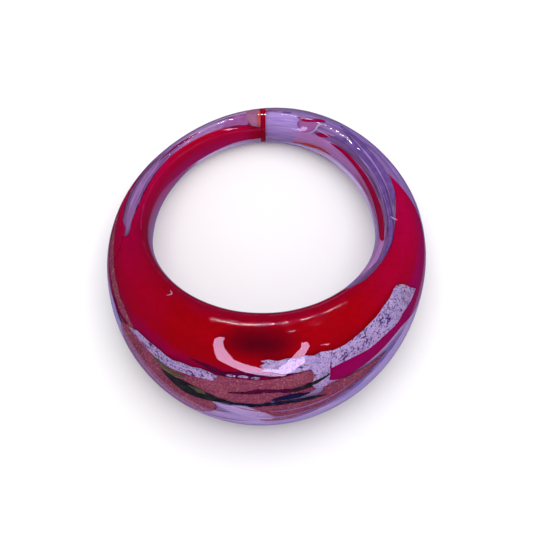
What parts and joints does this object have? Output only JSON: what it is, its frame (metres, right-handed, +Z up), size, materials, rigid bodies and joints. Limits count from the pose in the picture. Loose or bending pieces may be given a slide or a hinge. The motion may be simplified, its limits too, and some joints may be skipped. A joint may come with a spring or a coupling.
{
  "type": "glass dome ring",
  "caption": "Closed domed finger ring of clear lilac art glass, thick in front and narrow behind, with red overlays, torn silver leaf, copper glitter glass and dark streaks inside.",
  "frame": {"origin": "centre of the bounding box, on the table the ring lies on", "axes": "+Z up from the table; the thick dome faces -Y and the narrow back lies towards +Y; the finger hole's axis leans 14.2 degrees from +Z towards +Y"},
  "size_m": [0.0252, 0.0262, 0.0137],
  "materials": {
    "lilac": "clear, fire-polished",
    "red": "dense red glass under clear",
    "crimson": "crimson glass under clear",
    "orange": "orange glass under clear",
    "aventurine": "glass full of copper flakes",
    "silver_leaf": "crackled silver leaf under lilac glass",
    "dark_green": "near-black green glass",
    "navy": "navy glass",
    "yellow_green": "yellow-green glass"
  },
  "bodies": {
    "root": {"outer_casing": "lilac", "finger_band": "lilac", "lilac_heart": "lilac", "seam_wafer": "red", "red_dome_overlay": "red", "red_back_ribbon": "red", "red_wisp_crescent": "red", "red_wisp_thin": "red", "crimson_edge_streak": "crimson", "crimson_chip_outer": "crimson", "crimson_chip_inner": "crimson", "orange_wisp": "orange", "aventurine_left": "aventurine", "aventurine_centre": "aventurine", "aventurine_lower": "aventurine", "aventurine_right": "aventurine", "aventurine_edge_streak": "aventurine", "silver_leaf_right": "silver_leaf", "silver_leaf_centre": "silver_leaf", "silver_leaf_left": "silver_leaf", "silver_speck_a": "silver_leaf", "silver_speck_b": "silver_leaf", "silver_speck_c": "silver_leaf", "dark_stringer_left": "dark_green", "dark_green_streak": "dark_green", "dark_green_lower": "dark_green", "navy_stringer": "navy", "navy_green_smear": "navy", "yellow_green_chip": "yellow_green"}
  },
  "joints": []
}
